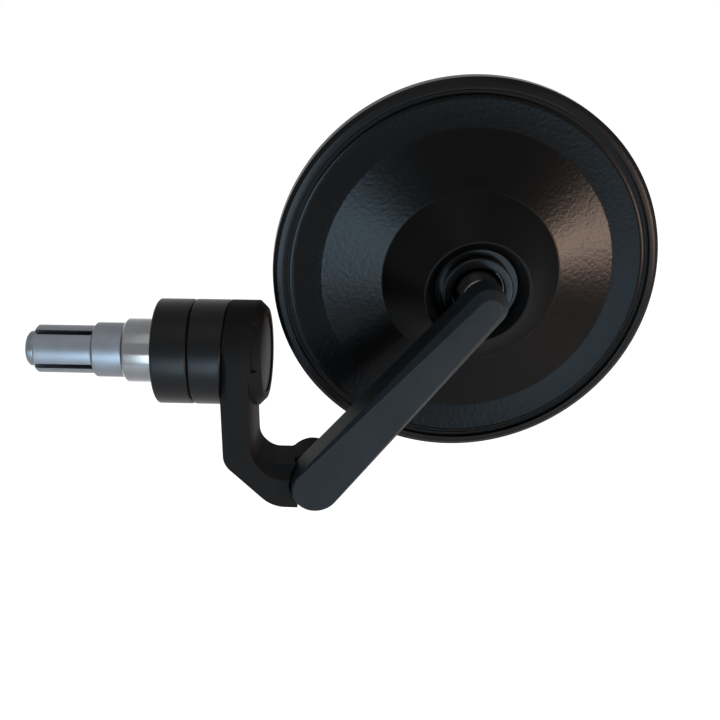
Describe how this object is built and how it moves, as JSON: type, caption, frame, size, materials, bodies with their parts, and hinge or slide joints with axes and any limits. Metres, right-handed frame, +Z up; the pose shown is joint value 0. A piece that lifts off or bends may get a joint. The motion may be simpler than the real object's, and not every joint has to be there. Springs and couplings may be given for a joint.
{
  "type": "bar end mirror",
  "caption": "Round mirror on a jointed two-piece arm with an expanding collet that clamps into the open end of a handlebar.",
  "frame": {"origin": "on the bar axis, at the face of the barrel that butts on the end of the handlebar", "axes": "+X along the bar axis and outboard, +Z up, -Y the way the back of the mirror faces"},
  "size_m": [0.1532, 0.0437, 0.1001],
  "materials": {
    "black_metal": "satin black anodised aluminium",
    "black_shell": "satin black coat with a fine grain",
    "satin_aluminium": "turned, satin",
    "polished_steel": "polished",
    "steel": "plain",
    "black_steel": "black oxide",
    "bronze": "sintered bronze",
    "black_plastic": "moulded",
    "bearing_plastic": "acetal",
    "rubber": "soft",
    "foam": "foam",
    "mirror": "silvered glass"
  },
  "bodies": {
    "bar_clamp": {"expansion_collet": "satin_aluminium", "spacer_bush": "polished_steel", "inner_barrel_ring": "black_metal"},
    "bolt": {"clamp_bolt": "black_steel"},
    "cone": {"expander_cone": "satin_aluminium"},
    "lower_arm": {"outer_barrel_ring": "black_metal", "clamp_washer": "steel", "lower_arm": "black_metal", "end_cap": "black_plastic", "pivot_bush": "bronze", "friction_washer": "bearing_plastic"},
    "upper_arm": {"upper_arm": "black_metal", "pivot_screw": "black_steel", "wave_washer": "steel", "pivot_washer": "steel", "ball_stud": "polished_steel"},
    "rear_cup": {"socket_cup_rear": "bearing_plastic"},
    "front_cup": {"socket_cup_front": "bearing_plastic"},
    "mirror": {"socket_spring": "steel", "socket_housing": "black_metal", "retaining_ring": "black_metal", "housing_screws": "steel", "back_shell": "black_shell", "rim_bezel": "black_metal", "rim_seal": "rubber", "glass_backing": "foam", "mirror_glass": "mirror"}
  },
  "joints": [
    {"name": "bolt_turn", "type": "hinge", "parent": "bar_clamp", "child": "bolt", "pos_m": [0, 0, 0], "axis": [-1, 0, 0], "range_deg": [-720, 720]},
    {"name": "cone_slide", "type": "slide", "parent": "bar_clamp", "child": "cone", "axis": [1, 0, 0], "range_m": [-0.0016, 0.0016]},
    {"name": "bar_turn", "type": "hinge", "parent": "bar_clamp", "child": "lower_arm", "pos_m": [0, 0, 0], "axis": [1, 0, 0], "continuous": true},
    {"name": "arm_pivot", "type": "hinge", "parent": "lower_arm", "child": "upper_arm", "pos_m": [0.03874, -0.01392, -0.02967], "axis": [0.1682, -0.9838, -0.0628], "range_deg": [-95, 0]},
    {"name": "ball_yaw", "type": "hinge", "parent": "upper_arm", "child": "rear_cup", "pos_m": [0.0757, 0.0056, 0.01515], "axis": [0.0106, -0.0619, 0.998], "range_deg": [-14, 14]},
    {"name": "ball_tip", "type": "hinge", "parent": "rear_cup", "child": "front_cup", "pos_m": [0.0757, 0.0056, 0.01515], "axis": [0.9857, 0.1685, 0], "range_deg": [-14, 14]},
    {"name": "ball_spin", "type": "hinge", "parent": "front_cup", "child": "mirror", "pos_m": [0.0757, 0.0056, 0.01515], "axis": [0.1682, -0.9838, -0.0628], "continuous": true}
  ],
  "couplings": [
    {"joint": "bolt_turn", "follows": "cone_slide", "rad_per_m": 7854}
  ]
}
